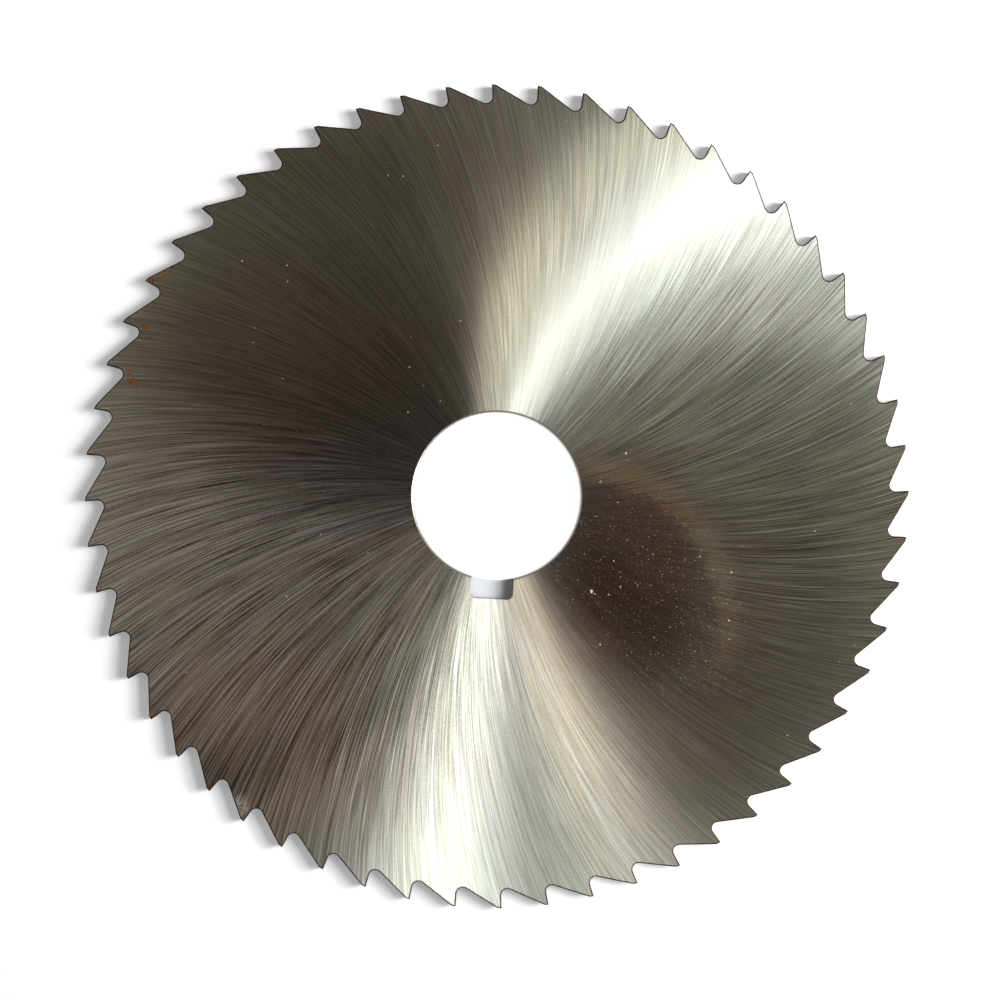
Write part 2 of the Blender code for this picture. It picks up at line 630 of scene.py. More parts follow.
    def dress(self, sides: bpy.types.Material, walls: bpy.types.Material, edges: bpy.types.Material) -> None:
        """Gives each kind of face its finish.

        Args:
            sides: Finish of the two flat sides.
            walls: Finish of the teeth's faces and backs, the bore and the keyway.
            edges: Finish of the fine rounding of the teeth.
        """
        mesh = self.piece.data
        mesh.materials.clear()
        for finish in (sides, walls, edges):
            mesh.materials.append(finish)
        for face in mesh.polygons:
            face.material_index = 0 if self.is_side(face.normal) else 2 if self.is_tooth_edge(face) else 1


class Sheet:
    """A sheet of shader nodes that is filled in from left to right."""

    def __init__(self, tree: bpy.types.NodeTree) -> None:
        """Starts on an empty tree."""
        self.tree = tree
        self.nodes = tree.nodes

    def add(self, kind: str, **settings: object) -> Node:
        """Adds a node.

        Args:
            kind: The node's type.
            settings: Its properties.

        Returns:
            The node.
        """
        node = self.nodes.new(kind)
        for name, value in settings.items():
            setattr(node, name, value)
        return node

    def put(self, value: object, socket: Socket) -> None:
        """Links a socket to an input, or sets the input to a plain value.

        Args:
            value: The socket or the plain value. A colour has three parts.
            socket: The input.
        """
        if isinstance(value, Socket):
            self.tree.links.new(value, socket)
        elif socket.type == "RGBA":
            socket.default_value = (*value, 1.0)
        else:
            socket.default_value = value

    def feed(self, node: Node, values: dict[str | int, object]) -> Node:
        """Fills in a node's inputs.

        Args:
            node: The node.
            values: A plain value or a socket for each input, by the input's name or number.

        Returns:
            The same node.
        """
        for name, value in values.items():
            self.put(value, node.inputs[name])
        return node

    def math(self, operation: str, *values: object, clamp: bool = False) -> Socket:
        """Result of a Math node."""
        node = self.add("ShaderNodeMath", operation=operation, use_clamp=clamp)
        return self.feed(node, dict(enumerate(values))).outputs[0]

    def vector_math(self, operation: str, *values: object) -> Socket:
        """Result of a Vector Math node: its value where the operation gives one, or else its vector.

        Args:
            operation: What the node does.
            values: Its inputs.

        Returns:
            The value or the vector.
        """
        node = self.add("ShaderNodeVectorMath", operation=operation)
        self.feed(node, dict(enumerate(values)))
        return node.outputs["Value" if operation == "LENGTH" else "Vector"]

    def scaled(self, vector: object, factor: object) -> Socket:
        """A vector times a number."""
        node = self.add("ShaderNodeVectorMath", operation="SCALE")
        return self.feed(node, {0: vector, "Scale": factor}).outputs["Vector"]

    def combined(self, x: object = 0.0, y: object = 0.0, z: object = 0.0) -> Socket:
        """Vector with three parts."""
        return self.feed(self.add("ShaderNodeCombineXYZ"), {"X": x, "Y": y, "Z": z}).outputs[0]

    def parts(self, vector: object) -> list[Socket]:
        """The three parts of a vector."""
        return list(self.feed(self.add("ShaderNodeSeparateXYZ"), {0: vector}).outputs)

    def place(self) -> Socket:
        """The point's place on the object, in metres."""
        return self.add("ShaderNodeTexCoord").outputs["Object"]

    def ramp(self, value: object, low: float, high: float, start: float = 0, end: float = 1) -> Socket:
        """Smooth map of a value from one range to another, held at both ends."""
        node = self.add("ShaderNodeMapRange", interpolation_type="SMOOTHSTEP", clamp=True)
        return self.feed(node, dict(enumerate((value, low, high, start, end)))).outputs["Result"]

    def largest(self, first: object, *others: object) -> Socket:
        """Largest of some values.

        Args:
            first: One value.
            others: The rest.

        Returns:
            The largest.
        """
        for other in others:
            first = self.math("MAXIMUM", first, other)
        return first

    def cloud(self, vector: object, scale: float, detail: float, rough: object) -> Node:
        """Noise texture. Its values are about 0.5 on average."""
        values = {"Vector": vector, "Scale": scale, "Detail": detail, "Roughness": rough}
        return self.feed(self.add("ShaderNodeTexNoise"), values)

    def noise(self, vector: object, scale: float, detail: float = 2, rough: object = 0.5) -> Socket:
        """Value of a Noise texture."""
        return self.cloud(vector, scale, detail, rough).outputs["Fac"]

    def bump(self, height: object, strength: float, distance: float, shader: Node) -> None:
        """Gives a shader a relief.

        Args:
            height: Its height, from 0 to 1.
            strength: How strong it is.
            distance: Its height in metres, from 0 to 1.
            shader: The shader.
        """
        node = self.add("ShaderNodeBump")
        self.feed(node, {"Strength": strength, "Distance": distance, "Height": height})
        self.feed(shader, {"Normal": node.outputs["Normal"]})

    def mix(self, share: object, first: object, second: object, blend: str = "MIX") -> Socket:
        """Mix of two colours."""
        node = self.add("ShaderNodeMix", data_type="RGBA", blend_type=blend)
        return self.feed(node, {"Factor": share, 6: first, 7: second}).outputs[2]

    def swirled(self, vector: object, angle: object) -> Socket:
        """A vector turned about Z by an angle."""
        node = self.add("ShaderNodeVectorRotate", rotation_type="Z_AXIS")
        return self.feed(node, {"Vector": vector, "Angle": angle}).outputs["Vector"]


def new_material(name: str) -> tuple[Sheet, Node, bpy.types.Material]:
    """Starts a material.

    Args:
        name: The material's name.

    Returns:
        Its sheet, its shader and the material.
    """
    material = bpy.data.materials.new(name)
    material.use_nodes = True
    return Sheet(material.node_tree), material.node_tree.nodes["Principled BSDF"], material


class Effect(Enum):
    """Surface effects that the finishes share, each a node group."""

    GRINDING_LINES = "grinding_lines"
    SCRATCHES = "crossing_scratches"
    SPECKS = "specks"
    SPOT = "ragged_spot"

    def place(self, sheet: Sheet, **values: object) -> Node:
        """Puts the effect's group on a material's sheet.

        Args:
            sheet: The material's sheet.
            values: The group's inputs, each a plain value or a socket.

        Returns:
            The group's node.
        """
        node = sheet.add("ShaderNodeGroup", node_tree=bpy.data.node_groups[self.value])
        return sheet.feed(node, values)


def new_group(
    effect: Effect, inputs: dict[str, float], outputs: Sequence[str], vectors: Sequence[str] = ()
) -> tuple[Sheet, Sockets, Sockets]:
    """Starts the node group of a shared effect.

    Args:
        effect: The effect.
        inputs: Name and usual value of each input that holds a number.
        outputs: The outputs' names.
        vectors: Names of the inputs that hold a vector.

    Returns:
        The group's sheet, what it is given and what it gives back.
    """
    tree = bpy.data.node_groups.new(effect.value, "ShaderNodeTree")
    for label, value in inputs.items():
        tree.interface.new_socket(label, in_out="INPUT", socket_type="NodeSocketFloat").default_value = value
    for label in vectors:
        tree.interface.new_socket(label, in_out="INPUT", socket_type="NodeSocketVector")
    for label in outputs:
        tree.interface.new_socket(label, in_out="OUTPUT", socket_type="NodeSocketFloat")
    sheet = Sheet(tree)
    return sheet, sheet.add("NodeGroupInput").outputs, sheet.add("NodeGroupOutput").inputs


@dataclass(frozen=True)
class GrindingLines:
    """Lines that a cup wheel leaves on a side that turns under it: arcs of circles through the bore's axis.

    The lines are as wide near the bore as at the rim. So they come in layers, each for its own stretch of
    the radius, and one layer fades into the next.

    Attributes:
        wheel_radius: Radius of the cup wheel, and so of the arcs.
        first_radius: Radius on the blade at which the first layer's lines have their true width.
        ratio: Each layer's radius against the one before it.
        lift: Step through the noise from one layer to the next.
    """

    wheel_radius: float = 102.4 * MM
    first_radius: float = 13 * MM
    ratio: float = 1.7
    lift: float = 7.3

    def build(self) -> None:
        """Makes the node group. Its output is about 0.5 on average."""
        inputs = {"Width": 0.3 * MM, "Length": 15 * MM, "Seed": 0.0, "Twist": 1.0, "Roughness": 0.6}
        sheet, given, result = new_group(Effect.GRINDING_LINES, inputs, ("Lines",))
        flat, radius, bend = self.polar_place(sheet)
        twisted = sheet.math("MULTIPLY", bend, sheet.math("MULTIPLY", given["Twist"], -1.0))
        start = sheet.vector_math("NORMALIZE", sheet.swirled(flat, twisted))

        depth = sheet.math("LOGARITHM", sheet.math("DIVIDE", radius, self.first_radius), self.ratio)
        layer = sheet.math("FLOOR", depth)
        share = sheet.ramp(sheet.math("SUBTRACT", depth, layer), 0.0, 1.0)
        along = sheet.math("ADD", sheet.math("DIVIDE", radius, given["Length"]), given["Seed"])
        heights = []
        for step in (0.0, 1.0):
            index = sheet.math("ADD", layer, step)
            layer_radius = sheet.math("MULTIPLY", sheet.math("POWER", self.ratio, index), self.first_radius)
            around = sheet.scaled(start, sheet.math("DIVIDE", layer_radius, given["Width"]))
            up = sheet.combined(z=sheet.math("MULTIPLY_ADD", index, self.lift, along))
            height = sheet.noise(sheet.vector_math("ADD", around, up), 1.0, rough=given["Roughness"])
            heights.append(sheet.math("SUBTRACT", height, 0.5))

        other = sheet.math("SUBTRACT", 1.0, share)
        mixed = sheet.math("MULTIPLY_ADD", heights[0], other, sheet.math("MULTIPLY", heights[1], share))
        power = sheet.math("MULTIPLY_ADD", other, other, sheet.math("MULTIPLY", share, share))
        even = sheet.math("DIVIDE", mixed, sheet.math("SQRT", power))
        sheet.put(sheet.math("ADD", even, 0.5), result["Lines"])

    def polar_place(self, sheet: Sheet) -> tuple[Socket, Socket, Socket]:
        """Places a point on the arcs.

        Args:
            sheet: The sheet that the nodes go on.

        Returns:
            The point's place in the plane, its radius, and the angle by which the arc has bent away there.
        """
        flat = sheet.vector_math("MULTIPLY", sheet.place(), (1, 1, 0))
        radius = sheet.vector_math("LENGTH", flat)
        bend = sheet.math("ARCSINE", sheet.math("MULTIPLY", radius, 0.5 / self.wheel_radius))
        return flat, radius, bend


@dataclass(frozen=True)
class Scratches:
    """Straight scratches that cross the grinding lines. Their steepness is that of their walls."""

    steepness: float = 14.0

    def build(self) -> None:
        """Makes the node group. Its output is 1 on a scratch."""
        inputs = {"Angle": 0.0, "Width": 0.15 * MM, "Length": 6 * MM, "Level": 0.72, "Seed": 0.0}
        sheet, given, result = new_group(Effect.SCRATCHES, inputs, ("Mask",))
        along, across, _ = sheet.parts(sheet.swirled(sheet.place(), given["Angle"]))
        along = sheet.math("DIVIDE", along, given["Length"])
        across = sheet.math("DIVIDE", across, given["Width"])
        height = sheet.noise(sheet.combined(along, across, given["Seed"]), 1.0, detail=1)
        over = sheet.math("SUBTRACT", height, given["Level"])
        sheet.put(sheet.math("MULTIPLY", over, self.steepness, clamp=True), result["Mask"])


@dataclass(frozen=True)
class Specks:
    """Scattered grains of dust.

    Attributes:
        steepness: Steepness of a grain's outline.
        rarity: How much rarer the large grains are than the small ones.
        least_size: Size of the smallest grain, against the usual one.
        faintest: Strength of the faintest grain.
    """

    steepness: float = 2.5
    rarity: float = 3.0
    least_size: float = 0.45
    faintest: float = 0.25

    def build(self) -> None:
        """Makes the node group. Its output is up to 1 in a grain, and less in the faint ones."""
        inputs = {"Spacing": 1 * MM, "Share": 0.1, "Size": 0.1, "Seed": 0.0}
        sheet, given, result = new_group(Effect.SPECKS, inputs, ("Mask",))
        place = sheet.scaled(sheet.place(), sheet.math("DIVIDE", 1.0, given["Spacing"]))
        cells = sheet.add("ShaderNodeTexVoronoi", voronoi_dimensions="2D")
        place = sheet.vector_math("ADD", place, sheet.combined(given["Seed"]))
        sheet.feed(cells, {"Vector": place, "Scale": 1.0})
        draws = sheet.add("ShaderNodeSeparateColor")
        sheet.feed(draws, {0: cells.outputs["Color"]})
        chosen = sheet.math("LESS_THAN", draws.outputs["Red"], given["Share"])
        bulk = sheet.math("POWER", draws.outputs["Green"], self.rarity)
        reach = sheet.math("MULTIPLY", given["Size"], sheet.math("ADD", bulk, self.least_size))
        inside = sheet.math("SUBTRACT", 1.0, sheet.math("DIVIDE", cells.outputs["Distance"], reach))
        dot = sheet.math("MULTIPLY", inside, self.steepness, clamp=True)
        bright = sheet.math("MULTIPLY_ADD", draws.outputs["Blue"], 1 - self.faintest, self.faintest)
        sheet.put(sheet.math("MULTIPLY", sheet.math("MULTIPLY", dot, chosen), bright), result["Mask"])


class Spot:
    """One spot at a chosen place. Its outline strays as much as the place that it is given does."""

    def build(self) -> None:
        """Makes the node group: 1 inside the spot, and the share of the way to its outline."""
        inputs = {"X": 0.0, "Y": 0.0, "Radius": 1 * MM, "Edge": 0.3, "Stretch": 1.0}
        sheet, given, result = new_group(Effect.SPOT, inputs, ("Mask", "Reach"), ("Place",))
        x, y, _ = sheet.parts(given["Place"])
        across = sheet.math("SUBTRACT", x, given["X"])
        up = sheet.math("MULTIPLY", sheet.math("SUBTRACT", y, given["Y"]), given["Stretch"])
        square = sheet.math("MULTIPLY_ADD", across, across, sheet.math("MULTIPLY", up, up))
        reach = sheet.math("DIVIDE", sheet.math("SQRT", square), given["Radius"])
        inside = sheet.math("DIVIDE", sheet.math("SUBTRACT", 1.0, reach), given["Edge"])
        sheet.put(sheet.ramp(inside, -0.5, 0.5), result["Mask"])
        sheet.put(reach, result["Reach"])


@dataclass(frozen=True)
class Patch:
    """A stained, rusty or worn place on the upper side. Its place and size are in millimetres.

    Attributes:
        x: Its place along X.
        y: Its place along Y.
        radius: Its size.
        strength: How strong it is at its middle.
        edge: Softness of its outline, against its radius.
        stretch: How much narrower it is along Y than along X.
    """

    x: float
    y: float
    radius: float
    strength: float = 1.0
    edge: float = 0.5
    stretch: float = 1.0

    def spot(self, sheet: Sheet, place: Socket) -> Node:
        """Puts the place's spot on a sheet. The coordinates stray as much as its outline does."""
        sizes = {"X": self.x * MM, "Y": self.y * MM, "Radius": self.radius * MM}
        return Effect.SPOT.place(sheet, Place=place, Edge=self.edge, Stretch=self.stretch, **sizes)

    def mask(self, sheet: Sheet, place: Socket) -> Socket:
        """Strength of the place over the surface, from 0 to 1."""
        return sheet.math("MULTIPLY", self.spot(sheet, place).outputs["Mask"], self.strength)


@dataclass(frozen=True)
class Film:
    """A tinted film that the steel shows through. Some are oily stains, others painted reflection, light and
    shade.

    Attributes:
        patch: Where it lies.
        tint: What it leaves of the steel's colour.
    """

    patch: Patch
    tint: Colour


@dataclass(frozen=True)
class StainsAndPaintedLight:
    """Tinted films on the upper side, the lowest first, each named for its colour or its place: partly oily
    stains, partly painted reflection, light and shade.
    """

    # Each film's tint is partly an oily stain and partly painted reflection, light and shade that set a
    # region's brightness and hue.
    purple_haze: Film = Film(Patch(-29, 21, 22, 1.0, 0.85, 1.1), (0.82, 0.70, 0.70))
    cool_band: Film = Film(Patch(-32, 33, 22, 1.0, 1.2, 2.0), (1.28, 1.40, 1.42))
    red_haze: Film = Film(Patch(-35, -40, 15, 1.0, 1.3, 0.9), (1.24, 0.96, 0.88))
    # Painted light: this film makes the steel much lighter below and right of the bore.
    bright_patch: Film = Film(Patch(24, -18, 19, 1.0, 1.0, 0.7), (1.80, 1.60, 1.50))
    dark_patch_middle: Film = Film(Patch(21, -10, 9, 1.0, 0.85, 0.55), (0.84, 0.65, 0.62))
    right_haze: Film = Film(Patch(52, -28, 25, 1.0, 0.85, 0.6), (0.90, 0.84, 0.80))
    straw_haze: Film = Film(Patch(-28, 36, 32, 1.0, 1.1, 1.2), (1.52, 1.38, 1.16))
    lower_haze: Film = Film(Patch(-15, -31, 14, 1.0, 0.85, 0.65), (0.88, 0.84, 0.80))
    upper_haze: Film = Film(Patch(-4, 31, 27, 1.0, 0.85, 0.85), (0.76, 0.77, 0.79))
    left_rim: Film = Film(Patch(-60, -8, 20, 1.0, 1.2, 1.0), (1.26, 1.24, 1.20))
    bottom_haze: Film = Film(Patch(21, -38, 20, 1.0, 0.85, 0.7), (0.74, 0.74, 0.76))
    left_haze: Film = Film(Patch(-29, 3, 23, 1.0, 0.85, 0.9), (1.00, 0.94, 1.00))
    dark_patch_near_bore: Film = Film(Patch(15, -13, 6.5, 1.0, 1.0, 1.0), (0.74, 0.70, 0.70))
    dark_patch_far_end: Film = Film(Patch(24, -20, 6.5, 1.0, 1.0, 1.0), (0.76, 0.75, 0.79))

    def films(self) -> list[Film]:
        """The films, the lowest first."""
        return [getattr(self, entry.name) for entry in fields(self)]


class Span(Enum):
    """Range of a height, 0.5 on average, over which something goes from nothing to its full strength."""

    BROAD_LINES = (0.36, 0.64)
    FINE_LINES = (0.40, 0.60)
    GRIT = (0.35, 0.65)
    CRUMBS = (0.38, 0.60)
    HUES = (0.38, 0.62)
    STREAKS = (0.38, 0.60)
    BRIGHT_HAIRS = (0.58, 0.67)
    DARK_HAIRS = (0.42, 0.34)

    def of(self, sheet: Sheet, height: Socket, start: float = 0, end: float = 1) -> Socket:
        """Strength for a height, from the start's to the end's."""
        return sheet.ramp(height, *self.value, start, end)


@dataclass(frozen=True)
class Grain:
    """What varies over the sides.

    Attributes:
        fine: Height of the fine lines.
        wide: Height of the wide lines.
        bands: Height of the broad bands.
        hairs: Height of lines of which the highest are bright hairlines, made lighter by painted glints, and
            the lowest are dark ones.
        grit: Height of the grain that breaks the lines and the rust up.
        coarse: Coordinates that stray by millimetres.
        ragged: Coordinates that stray by tenths of a millimetre.
    """

    fine: Socket
    wide: Socket
    bands: Socket
    hairs: Socket
    grit: Socket
    coarse: Socket
    ragged: Socket


@dataclass
class Coating:
    """What the steel's surface has become, layer by layer.

    Attributes:
        sheet: The material's sheet.
        colour: Its colour.
        rough: Its roughness.
        cover: How far grains and rust hide the metal, from 0 to 1.
    """

    sheet: Sheet
    colour: Socket
    rough: Socket
    cover: object = 0.0

    def tint(self, share: Socket, tint: object, blur: float = 0.0) -> None:
        """Lays a film that the steel shows through.

        Args:
            share: How thick it is over the surface, from 0 to 1.
            tint: What it leaves of the colour.
            blur: How much it adds to the roughness.
        """
        through = self.sheet.mix(1.0, self.colour, tint, "MULTIPLY")
        self.colour = self.sheet.mix(share, self.colour, through)
        if blur:
            self.rough = self.sheet.math("MULTIPLY_ADD", share, blur, self.rough)

    def paint(self, share: Socket, colour: Colour, cover: object = 0.0) -> None:
        """Lays something over the steel.

        Args:
            share: How far it hides the colour, from 0 to 1.
            colour: Its own colour.
            cover: How far it hides the metal, from 0 to 1.
        """
        self.colour = self.sheet.mix(share, self.colour, colour)
        self.cover = self.sheet.math("MAXIMUM", self.cover, cover)


@dataclass(frozen=True)
class GroundSteel:
    """Hardened steel, ground all over: it glints across the grinding lines and stays dark along them.

    Attributes:
        colour: The clean steel.
        cool: Tint of the coolest lines.
        brown: Tint of the brownest lines.
        purple: Tint of the most purple bands.
        olive: Tint of the most olive bands.
        painted_glints: Tint of the bright hairlines: painted glints.
        rust: Rust on the teeth.
        dust: Dust grains.
        roughness: Blur across the lines.
        roughness_swing: How far the blur strays from that, line by line.
        cover_blur: How much dust and rust add to the blur.
        specular: How much dust and rust reflect.
        fine_sway: Largest turn of a fine line from the true arc, in radians.
        wide_sway: The same of a wide line.
        grit_size: Size of the grain along the lines.
        fine_relief: How much lighter or darker the fine lines are.
        grit_relief: The same of the grain.
        wide_relief: The same of the wide lines.
        band_relief: The same of the broad bands.
        painted_glints_relief: How much lighter the bright hairlines are: painted glints.
        dark_relief: The same of the dark hairlines.
        darkest: Shade of the darkest line, against the steel's own.
        line_bump: Strength and height of the lines' own relief.
        least_depth: Depth of the lines outside the marked areas, against their depth there.
        marked_areas: Where the lines are deepest.
        highlight_arc_places: Places one after another along the arc where the highlight falls. The lines are
            painted fainter there, as a strong highlight washes them out.
        calm: How much of the lines' depth is lost there.
        dark_patch_calm: The same inside the dark patch.
        lines: The grinding lines' arcs.
        stains_and_painted_light: The tinted films, partly oily stains and partly painted reflection, light
            and shade.
        streaks: How far the films keep to the wide lines, from 0 to 1.
        dark_patch: A darker round patch beside the bore.
        dark_patch_blur: How much it adds to the blur.
        dark_patch_wall: Where it thins out, against its radius.
        dark_patch_depth: Where the dark patch is strongest.
        rim: Tint of the tan arc along one edge of the dark patch beside the bore.
        rim_blur: How much the rim adds to the blur.
        rim_wall: Where the rim starts, is strongest and ends, against the dark patch's radius.
        dark_patch_side: The side of the dark patch on which its rim shows.
        dusty_place: Where the dust lies thick.
        faint_dust: How much of the faint dust shows there.
        grains: Single grains and crumbs of dust beside the bore.
        rust_specks: Rusty places on the teeth.
        worn_tooth: The place where a tooth's side is scuffed.
        cross_angles: Directions of the scratches that cross the lines, in radians.
    """

    colour: Colour = (0.51, 0.53, 0.47)
    cool: Colour = (0.955, 1.010, 1.040)
    brown: Colour = (1.045, 0.990, 0.955)
    purple: Colour = (1.020, 0.985, 1.010)
    olive: Colour = (0.988, 1.010, 0.960)
    painted_glints: Colour = (0.93, 1.0, 1.10)
    rust: Colour = (0.26, 0.095, 0.016)
    dust: Colour = (0.70, 0.67, 0.61)
    roughness: float = 0.345
    roughness_swing: float = 0.010
    cover_blur: float = 0.3
    specular: float = 0.2
    fine_sway: float = math.radians(3)
    wide_sway: float = math.radians(2)
    grit_size: float = 0.22 * MM
    fine_relief: float = 0.46
    grit_relief: float = 0.13
    wide_relief: float = 0.085
    band_relief: float = 0.045
    painted_glints_relief: float = 1.70
    dark_relief: float = -0.60
    darkest: float = 0.12
    line_bump: tuple[float, float] = (0.3, 0.02 * MM)
    least_depth: float = 0.45
    marked_areas: tuple[Patch, ...] = (Patch(-36, -24, 31, 1.0, 1.0), Patch(44, 8, 30, 0.45, 1.0))
    highlight_arc_places: tuple[Patch, ...] = (
        Patch(4.9, 17.9, 5.0, 1.0, 1.0),
        Patch(7.2, 23.6, 5.0, 1.0, 1.0),
        Patch(10.3, 29.0, 5.5, 1.0, 1.0),
        Patch(14.2, 34.2, 5.5, 1.0, 1.0),
        Patch(18.8, 39.0, 6.0, 1.0, 1.0),
        Patch(24.0, 43.4, 6.0, 1.0, 1.0),
        Patch(29.6, 47.2, 6.0, 1.0, 1.0),
        Patch(35.2, 50.2, 6.0, 1.0, 1.0),
    )
    calm: float = 0.65
    dark_patch_calm: float = 0.35
    lines: GrindingLines = GrindingLines()
    stains_and_painted_light: StainsAndPaintedLight = StainsAndPaintedLight()
    streaks: float = 0.25
    dark_patch: Film = Film(Patch(13.1, -18.4, 26.0), (0.83, 0.78, 0.78))
    dark_patch_blur: float = 0.050
    dark_patch_wall: tuple[float, float] = (0.70, 0.90)
    dark_patch_depth: Patch = Patch(19.0, -9.0, 17.0, 1.0, 0.8)
    rim: Colour = (1.80, 1.37, 1.09)
    rim_blur: float = 0.045
    rim_wall: tuple[float, float, float] = (0.78, 0.88, 1.02)
    dark_patch_side: Patch = Patch(30.0, -2.0, 20.0, 1.0, 0.7)
    dusty_place: Patch = Patch(21, -15, 19, 0.9, 0.8)
    faint_dust: float = 0.42
    grains: tuple[Patch, ...] = (
        Patch(15.1, -13.7, 0.17, 1.0, 0.5, 0.6),
        Patch(15.6, -14.0, 0.15, 1.0, 0.5, 1.6),
        Patch(17.7, -14.0, 0.17, 1.0, 0.5, 1.3),
        Patch(19.4, -12.7, 0.12),
        Patch(18.2, -8.9, 0.12),
        Patch(19.2, 7.4, 0.11, 0.9),
        Patch(18.3, 0.0, 0.09, 0.7),
        Patch(15.2, -2.3, 0.20, 0.35, 0.5, 1.8),
        Patch(15.6, 3.0, 0.24, 0.35, 0.5, 2.2),
    )
    rust_specks: tuple[Patch, ...] = (
        Patch(-51.9, 30.4, 0.44, 1.0, 0.8),
        Patch(-53.9, 29.8, 0.46, 0.45, 1.0),
        Patch(-52.2, 31.6, 0.28, 0.70, 1.0, 0.6),
        Patch(-51.0, 32.1, 0.22, 0.65, 1.0, 0.5),
        Patch(-56.3, 25.2, 0.90, 0.25, 1.2),
        Patch(-54.6, 22.8, 0.42, 0.95, 0.8),
        Patch(-53.6, 21.2, 0.20, 0.80, 0.8),
        Patch(-56.6, 15.7, 0.36, 1.0, 0.7),
        Patch(-56.3, 14.5, 0.36, 0.75, 1.0),
        Patch(-55.3, 14.2, 0.17, 0.75, 1.0, 0.2),
    )
    worn_tooth: Patch = Patch(-36.8, -49.0, 1.7, 1.0, 0.8)
    cross_angles: tuple[float, ...] = (0.4, 1.3, 2.5)

    def build(self) -> bpy.types.Material:
        """Makes the material.

        Returns:
            The material.
        """
        sheet, shader, material = new_material("ground_steel_sides")
        sheet.feed(shader, {"Anisotropic": 1.0, "Specular IOR Level": self.specular})
        grain = self.vary(sheet)
        # The dark patch beside the bore: darker, blurrier and with fainter lines, with a tan arc along one
        # edge.
        reach = self.dark_patch.patch.spot(sheet, grain.coarse).outputs["Reach"]
        thinning = sheet.ramp(reach, *self.dark_patch_wall, 1.0, 0.0)
        inside = sheet.math("MULTIPLY", thinning, self.dark_patch_depth.mask(sheet, grain.coarse))

        coating = self.ground(sheet, grain, self.line_depth(sheet, grain, inside))
        self.add_films(coating, grain)
        coating.tint(inside, self.dark_patch.tint, self.dark_patch_blur)
        self.add_rim(coating, grain, reach)
        self.add_dust(coating, grain)
        self.add_wear(coating, grain)
        rough = sheet.math("MULTIPLY_ADD", coating.cover, self.cover_blur, coating.rough)
        metal = sheet.math("SUBTRACT", 1.0, coating.cover)
        sheet.feed(shader, {"Base Color": coating.colour, "Metallic": metal, "Roughness": rough})
        sheet.bump(grain.fine, *self.line_bump, shader)
        sheet.feed(shader, {"Tangent": self.across(sheet, grain)})
        return material

    def vary(self, sheet: Sheet) -> Grain:
        """Makes what varies over the sides.

        Args:
            sheet: The material's sheet.

        Returns:
            The heights and the coordinates.
        """
        place = sheet.place()
        lines = Effect.GRINDING_LINES.place
        return Grain(
            fine=lines(sheet, Width=0.17 * MM, Length=13 * MM, Seed=3.0).outputs[0],
            wide=lines(sheet, Width=1.0 * MM, Length=26 * MM, Seed=21.0).outputs[0],
            bands=lines(sheet, Width=4.0 * MM, Length=40 * MM, Seed=47.0).outputs[0],
            hairs=lines(sheet, Width=0.21 * MM, Length=26 * MM, Seed=90.0, Twist=1.02).outputs[0],
            grit=sheet.noise(place, 1 / self.grit_size, detail=1),
            coarse=self.strayed(sheet, place, grain=6 * MM, stray=1.5 * MM),
            ragged=self.strayed(sheet, place, grain=0.45 * MM, stray=0.42 * MM),
        )

    @staticmethod
    def strayed(sheet: Sheet, place: Socket, grain: float, stray: float) -> Socket:
        """Coordinates that stray from the true ones.

        Args:
            sheet: The material's sheet.
            place: The true coordinates.
            grain: Distance over which the straying changes.
            stray: How far they stray.

        Returns:
            The coordinates.
        """
        cloud = sheet.cloud(place, 1 / grain, detail=3, rough=0.6)
        off = sheet.vector_math("SUBTRACT", cloud.outputs["Color"], (0.5, 0.5, 0.5))
        return sheet.vector_math("ADD", place, sheet.scaled(off, 2 * stray))

    @staticmethod
    def strongest(sheet: Sheet, places: Sequence[Patch], where: Socket) -> Socket:
        """Strength of whichever of some places is the strongest at a point."""
        return sheet.largest(*(patch.mask(sheet, where) for patch in places))

    def line_depth(self, sheet: Sheet, grain: Grain, inside: Socket) -> Socket:
        """Depth of the grinding lines over the side.

        Args:
            sheet: The material's sheet.
            grain: What varies over the sides.
            inside: How far inside the dark patch a point is, from 0 to 1.

        Returns:
            The depth, from 0 to 1.
        """
        marked = self.strongest(sheet, self.marked_areas, grain.coarse)
        marked = sheet.math("MULTIPLY", marked, sheet.math("SUBTRACT", 1.0, inside))
        deep = sheet.math("MULTIPLY_ADD", marked, 1 - self.least_depth, self.least_depth)
        # The lines are painted fainter along the arc where the highlight falls.
        calm = sheet.math("MULTIPLY", self.strongest(sheet, self.highlight_arc_places, grain.coarse), self.calm)
        deep = sheet.math("MULTIPLY", deep, sheet.math("SUBTRACT", 1.0, calm))
        return sheet.math("MULTIPLY", deep, sheet.math("MULTIPLY_ADD", inside, -self.dark_patch_calm, 1.0))

    def ground(self, sheet: Sheet, grain: Grain, deep: Socket) -> Coating:
        """Shades the steel line by line.

        Args:
            sheet: The material's sheet.
            grain: What varies over the sides.
            deep: How deep the lines are, from 0 to 1.

        Returns:
            The bare steel.
        """
        bright = Span.BRIGHT_HAIRS.of(sheet, grain.hairs)
        dark = Span.DARK_HAIRS.of(sheet, grain.hairs)
        relief = sheet.math("MULTIPLY", Span.BROAD_LINES.of(sheet, grain.wide, -1.0), self.wide_relief)
        bands = Span.BROAD_LINES.of(sheet, grain.bands, -1.0)
        relief = sheet.math("MULTIPLY_ADD", bands, self.band_relief, relief)
